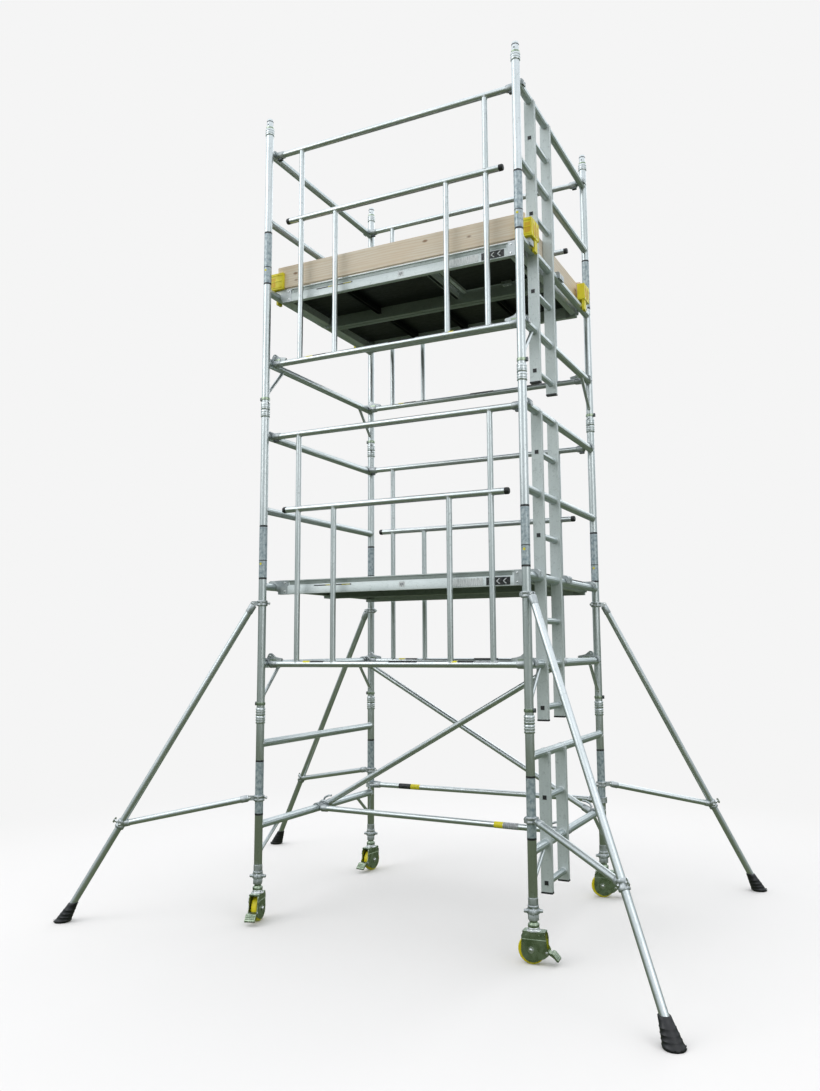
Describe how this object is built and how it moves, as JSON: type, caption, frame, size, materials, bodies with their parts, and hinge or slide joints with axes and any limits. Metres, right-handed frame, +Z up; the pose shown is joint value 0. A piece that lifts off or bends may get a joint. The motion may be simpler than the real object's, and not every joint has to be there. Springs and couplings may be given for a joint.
{
  "type": "mobile tower scaffold",
  "caption": "Wheeled access tower of stacked ladder end frames with braces, guardrails, two deck levels with trapdoors, toe boards and splayed stabilisers.",
  "frame": {"origin": "on the floor, under the centre of the bounding box; the centre of the bay is at x = +0.143 m, y = +0.067 m because the four stabilisers are splayed unevenly", "axes": "+X along the decks towards the ladder end, +Y from the front to the back, +Z up"},
  "size_m": [4.042, 2.8596, 5.322],
  "materials": {
    "mill_aluminium": "mill-finish drawn tube with welds and cast claws",
    "deck_aluminium": "extruded side beams round a dark film-faced plywood panel",
    "deck_panel": "dark film-faced plywood with an aluminium edge",
    "zinc_steel": "zinc-plated pressed and turned steel",
    "yellow_wheel": "moulded yellow tread and hub",
    "black_rubber": "moulded black rubber",
    "pine": "planed pine with knots",
    "yellow_plastic": "moulded yellow plastic"
  },
  "bodies": {
    "tower": {"frame_left_base": "mill_aluminium", "frame_right_base": "mill_aluminium", "frame_left_middle": "mill_aluminium", "frame_right_middle": "mill_aluminium", "frame_left_top": "mill_aluminium", "frame_right_top": "mill_aluminium", "guardrail_front_lower": "mill_aluminium", "guardrail_back_lower": "mill_aluminium", "guardrail_front_upper": "mill_aluminium", "guardrail_back_upper": "mill_aluminium", "brace_front_horizontal": "mill_aluminium", "brace_back_horizontal": "mill_aluminium", "brace_diagonal_rising": "mill_aluminium", "brace_diagonal_falling": "mill_aluminium", "deck_front_lower": "deck_aluminium", "deck_back_lower": "deck_aluminium", "deck_front_upper": "deck_aluminium", "deck_back_upper": "deck_aluminium", "toe_board_front": "pine", "toe_board_back": "pine", "toe_board_left": "pine", "toe_board_right": "pine", "toe_clip_FL": "yellow_plastic", "toe_clip_FR": "yellow_plastic", "toe_clip_BL": "yellow_plastic", "toe_clip_BR": "yellow_plastic"},
    "trapdoor_lower": {"trapdoor_lower": "deck_panel"},
    "trapdoor_upper": {"trapdoor_upper": "deck_panel"},
    "leg_FL": {"adjustable_leg_FL": "zinc_steel"},
    "nut_FL": {"adjuster_nut_FL": "zinc_steel"},
    "castor_FL": {"castor_fork_FL": "zinc_steel"},
    "wheel_FL": {"castor_wheel_FL": "yellow_wheel"},
    "pedal_FL": {"brake_pedal_FL": "zinc_steel"},
    "stabiliser_FL": {"stabiliser_leg_FL": "mill_aluminium", "stabiliser_foot_FL": "black_rubber", "stabiliser_strut_FL": "mill_aluminium"},
    "leg_FR": {"adjustable_leg_FR": "zinc_steel"},
    "nut_FR": {"adjuster_nut_FR": "zinc_steel"},
    "castor_FR": {"castor_fork_FR": "zinc_steel"},
    "wheel_FR": {"castor_wheel_FR": "yellow_wheel"},
    "pedal_FR": {"brake_pedal_FR": "zinc_steel"},
    "stabiliser_FR": {"stabiliser_leg_FR": "mill_aluminium", "stabiliser_foot_FR": "black_rubber", "stabiliser_strut_FR": "mill_aluminium"},
    "leg_BL": {"adjustable_leg_BL": "zinc_steel"},
    "nut_BL": {"adjuster_nut_BL": "zinc_steel"},
    "castor_BL": {"castor_fork_BL": "zinc_steel"},
    "wheel_BL": {"castor_wheel_BL": "yellow_wheel"},
    "pedal_BL": {"brake_pedal_BL": "zinc_steel"},
    "stabiliser_BL": {"stabiliser_leg_BL": "mill_aluminium", "stabiliser_foot_BL": "black_rubber", "stabiliser_strut_BL": "mill_aluminium"},
    "leg_BR": {"adjustable_leg_BR": "zinc_steel"},
    "nut_BR": {"adjuster_nut_BR": "zinc_steel"},
    "castor_BR": {"castor_fork_BR": "zinc_steel"},
    "wheel_BR": {"castor_wheel_BR": "yellow_wheel"},
    "pedal_BR": {"brake_pedal_BR": "zinc_steel"},
    "stabiliser_BR": {"stabiliser_leg_BR": "mill_aluminium", "stabiliser_foot_BR": "black_rubber", "stabiliser_strut_BR": "mill_aluminium"}
  },
  "joints": [
    {"name": "trapdoor_lower_hinge", "type": "hinge", "parent": "tower", "child": "trapdoor_lower", "pos_m": [0.65699, -0.49619, 2.118], "axis": [1, 0, 0], "range_deg": [0, 90]},
    {"name": "trapdoor_upper_hinge", "type": "hinge", "parent": "tower", "child": "trapdoor_upper", "pos_m": [0.65699, -0.49619, 4.118], "axis": [1, 0, 0], "range_deg": [0, 90]},
    {"name": "nut_FL_turn", "type": "hinge", "parent": "tower", "child": "nut_FL", "pos_m": [-0.76151, -0.64719, 0.26], "axis": [0, 0, 1], "range_deg": [0, 11250]},
    {"name": "leg_FL_slide", "type": "slide", "parent": "tower", "child": "leg_FL", "axis": [0, 0, 1], "range_m": [-0.25, 0]},
    {"name": "castor_FL_swivel", "type": "hinge", "parent": "leg_FL", "child": "castor_FL", "pos_m": [-0.76151, -0.64719, 0.19], "axis": [0, 0, 1], "continuous": true},
    {"name": "wheel_FL_spin", "type": "hinge", "parent": "castor_FL", "child": "wheel_FL", "pos_m": [-0.76427, -0.63758, 0.075], "axis": [0.9613, 0.2756, 0], "continuous": true},
    {"name": "pedal_FL_hinge", "type": "hinge", "parent": "castor_FL", "child": "pedal_FL", "pos_m": [-0.74084, -0.71928, 0.066], "axis": [0.9613, 0.2756, 0], "range_deg": [0, 12]},
    {"name": "stabiliser_FL_swing", "type": "hinge", "parent": "tower", "child": "stabiliser_FL", "pos_m": [-0.76151, -0.64719, 1.35], "axis": [0, 0, 1], "range_deg": [-25.5, 44.5]},
    {"name": "nut_FR_turn", "type": "hinge", "parent": "tower", "child": "nut_FR", "pos_m": [1.04849, -0.64719, 0.26], "axis": [0, 0, 1], "range_deg": [0, 11250]},
    {"name": "leg_FR_slide", "type": "slide", "parent": "tower", "child": "leg_FR", "axis": [0, 0, 1], "range_m": [-0.25, 0]},
    {"name": "castor_FR_swivel", "type": "hinge", "parent": "leg_FR", "child": "castor_FR", "pos_m": [1.04849, -0.64719, 0.19], "axis": [0, 0, 1], "continuous": true},
    {"name": "wheel_FR_spin", "type": "hinge", "parent": "castor_FR", "child": "wheel_FR", "pos_m": [1.03853, -0.64806, 0.075], "axis": [-0.0872, 0.9962, 0], "continuous": true},
    {"name": "pedal_FR_hinge", "type": "hinge", "parent": "castor_FR", "child": "pedal_FR", "pos_m": [1.1232, -0.64065, 0.066], "axis": [-0.0872, 0.9962, 0], "range_deg": [0, 12]},
    {"name": "stabiliser_FR_swing", "type": "hinge", "parent": "tower", "child": "stabiliser_FR", "pos_m": [1.04849, -0.64719, 1.35], "axis": [0, 0, 1], "range_deg": [-30, 40]},
    {"name": "nut_BL_turn", "type": "hinge", "parent": "tower", "child": "nut_BL", "pos_m": [-0.76151, 0.78081, 0.26], "axis": [0, 0, 1], "range_deg": [0, 11250]},
    {"name": "leg_BL_slide", "type": "slide", "parent": "tower", "child": "leg_BL", "axis": [0, 0, 1], "range_m": [-0.25, 0]},
    {"name": "castor_BL_swivel", "type": "hinge", "parent": "leg_BL", "child": "castor_BL", "pos_m": [-0.76151, 0.78081, 0.19], "axis": [0, 0, 1], "continuous": true},
    {"name": "wheel_BL_spin", "type": "hinge", "parent": "castor_BL", "child": "wheel_BL", "pos_m": [-0.76029, 0.79074, 0.075], "axis": [0.9925, -0.1219, 0], "continuous": true},
    {"name": "pedal_BL_hinge", "type": "hinge", "parent": "castor_BL", "child": "pedal_BL", "pos_m": [-0.77065, 0.70637, 0.066], "axis": [0.9925, -0.1219, 0], "range_deg": [0, 12]},
    {"name": "stabiliser_BL_swing", "type": "hinge", "parent": "tower", "child": "stabiliser_BL", "pos_m": [-0.76151, 0.78081, 1.35], "axis": [0, 0, 1], "range_deg": [-48.5, 21.5]},
    {"name": "nut_BR_turn", "type": "hinge", "parent": "tower", "child": "nut_BR", "pos_m": [1.04849, 0.78081, 0.26], "axis": [0, 0, 1], "range_deg": [0, 11250]},
    {"name": "leg_BR_slide", "type": "slide", "parent": "tower", "child": "leg_BR", "axis": [0, 0, 1], "range_m": [-0.25, 0]},
    {"name": "castor_BR_swivel", "type": "hinge", "parent": "leg_BR", "child": "castor_BR", "pos_m": [1.04849, 0.78081, 0.19], "axis": [0, 0, 1], "continuous": true},
    {"name": "wheel_BR_spin", "type": "hinge", "parent": "castor_BR", "child": "wheel_BR", "pos_m": [1.03871, 0.77873, 0.075], "axis": [-0.2079, 0.9781, 0], "continuous": true},
    {"name": "pedal_BR_hinge", "type": "hinge", "parent": "castor_BR", "child": "pedal_BR", "pos_m": [1.12185, 0.7964, 0.066], "axis": [-0.2079, 0.9781, 0], "range_deg": [0, 12]},
    {"name": "stabiliser_BR_swing", "type": "hinge", "parent": "tower", "child": "stabiliser_BR", "pos_m": [1.04849, 0.78081, 1.35], "axis": [0, 0, 1], "range_deg": [-33, 37]}
  ],
  "couplings": [
    {"joint": "nut_FL_turn", "follows": "leg_FL_slide", "rad_per_m": -785.4},
    {"joint": "nut_FR_turn", "follows": "leg_FR_slide", "rad_per_m": -785.4},
    {"joint": "nut_BL_turn", "follows": "leg_BL_slide", "rad_per_m": -785.4},
    {"joint": "nut_BR_turn", "follows": "leg_BR_slide", "rad_per_m": -785.4}
  ]
}
